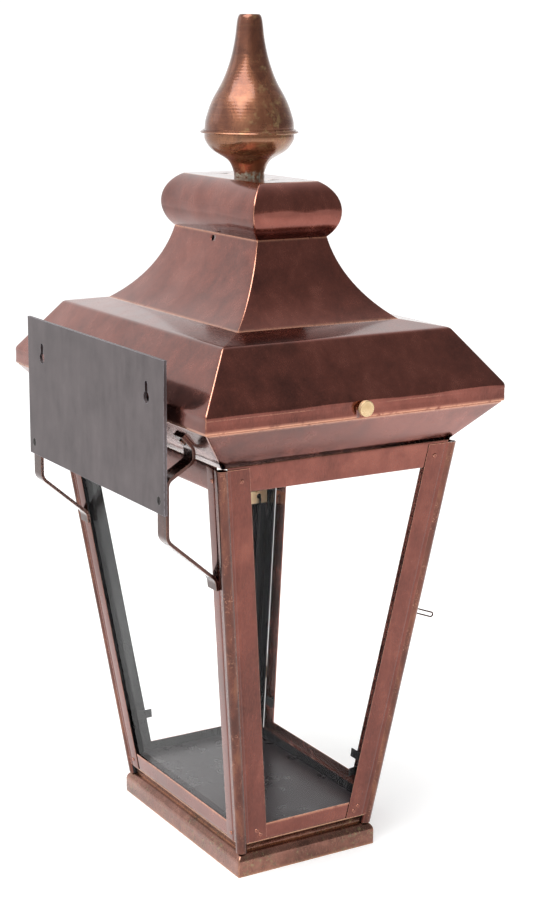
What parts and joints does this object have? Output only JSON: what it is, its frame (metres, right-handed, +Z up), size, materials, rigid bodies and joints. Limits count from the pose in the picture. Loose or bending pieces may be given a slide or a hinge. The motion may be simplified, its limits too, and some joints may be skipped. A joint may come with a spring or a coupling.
{
  "type": "wall-mounted lantern",
  "caption": "Tapered copper wall lantern with a glazed cage, hinged front door, lift-off hood, spun finial and a keyhole wall plate on strap brackets.",
  "frame": {"origin": "centre of the wall plate's wall-side face", "axes": "+Y into the wall, +Z up, the lantern's front and door towards -Y, +X to the right as seen from the front"},
  "size_m": [0.4228, 0.332, 0.8165],
  "materials": {
    "copper": "satin",
    "finial_bronze": "satin",
    "brass": "satin",
    "fastener_steel": "satin",
    "plate_steel": "satin",
    "floor_steel": "satin",
    "black_metal": "satin",
    "lamp_black": "gloss",
    "glass": "gloss"
  },
  "bodies": {
    "lantern": {"skirt_front": "copper", "skirt_right": "copper", "skirt_back": "copper", "skirt_left": "copper", "post_front_right": "copper", "post_front_left": "copper", "post_back_right": "copper", "post_back_left": "copper", "top_rails": "copper", "bottom_rails": "copper", "base_front": "copper", "base_right": "copper", "base_back": "copper", "base_left": "copper", "floor_plate": "floor_steel", "glass_right": "glass", "glass_back": "glass", "glass_left": "glass", "glass_clips": "black_metal", "wall_plate": "plate_steel", "strap_right": "copper", "strap_left": "copper", "plate_bolts": "fastener_steel", "plate_nuts": "fastener_steel", "strap_rivets": "copper", "post_rivets": "copper", "corner_lug": "brass", "corner_rod": "black_metal", "lamp_bar": "black_metal", "lamp_nipple": "brass", "lamp_nuts": "brass", "lamp_holder": "lamp_black", "thumb_nuts": "brass", "hinge_post_leaves": "brass", "hinge_pins": "brass"},
    "hood": {"finial_top": "finial_bronze", "finial_bowl": "finial_bronze", "finial_stud": "fastener_steel", "finial_nut": "brass", "crown_front": "copper", "crown_right": "copper", "crown_back": "copper", "crown_left": "copper", "roof_front": "copper", "roof_right": "copper", "roof_back": "copper", "roof_left": "copper", "hood_front": "copper", "hood_right": "copper", "hood_back": "copper", "hood_left": "copper"},
    "door": {"hinge_door_leaves": "brass", "door_stiles": "copper", "door_rails": "copper", "door_glass": "glass", "door_clips": "black_metal", "door_pull": "copper"},
    "thumb_right": {"thumb_right": "brass"},
    "thumb_left": {"thumb_left": "brass"}
  },
  "joints": [
    {"name": "hood_lift", "type": "slide", "parent": "lantern", "child": "hood", "axis": [0, 0, 1], "range_m": [0, 0.15]},
    {"name": "door_hinge", "type": "hinge", "parent": "lantern", "child": "door", "pos_m": [0.10512, -0.26119, -0.34134], "axis": [0.1312, -0.1312, 0.9826], "range_deg": [0, 100]},
    {"name": "thumb_right_turn", "type": "hinge", "parent": "lantern", "child": "thumb_right", "pos_m": [0.204, -0.171, 0.022], "axis": [1, 0, 0], "range_deg": [0, 720]},
    {"name": "thumb_left_turn", "type": "hinge", "parent": "lantern", "child": "thumb_left", "pos_m": [-0.204, -0.171, 0.022], "axis": [-1, 0, 0], "range_deg": [0, 720]}
  ]
}
